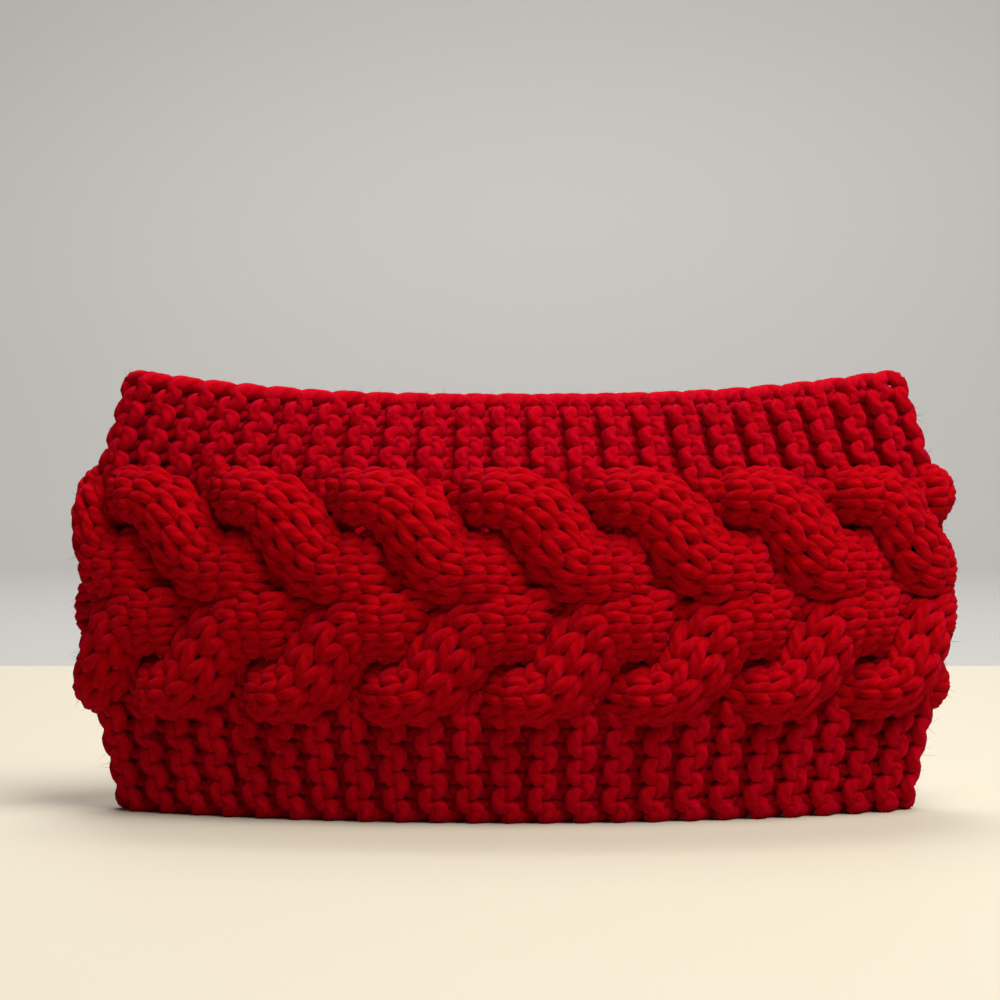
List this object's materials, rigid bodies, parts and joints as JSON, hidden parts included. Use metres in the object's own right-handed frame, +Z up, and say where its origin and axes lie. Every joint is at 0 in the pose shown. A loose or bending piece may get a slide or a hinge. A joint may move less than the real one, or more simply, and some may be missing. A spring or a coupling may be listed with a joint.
{
  "type": "ear warmer headband",
  "caption": "Chunky knitted ear warmer headband: a ring with a double cable round its middle and a garter stitch border along each edge.",
  "frame": {"origin": "middle of the oval that the band stands on, at the height of the surface under it", "axes": "+X along the long way of the folded ring, -Y out of its front face, +Z up from the lower border to the upper one"},
  "size_m": [0.2278, 0.0846, 0.1154],
  "materials": {
    "border_yarn": "soft bulky wool in garter stitch",
    "cable_yarn": "the same wool in smooth knit stitches"
  },
  "bodies": {
    "root": {"lower_border": "border_yarn", "lower_rope_first_strand": "cable_yarn", "lower_rope_second_strand": "cable_yarn", "upper_rope_first_strand": "cable_yarn", "upper_rope_second_strand": "cable_yarn", "upper_border": "border_yarn"}
  },
  "joints": []
}
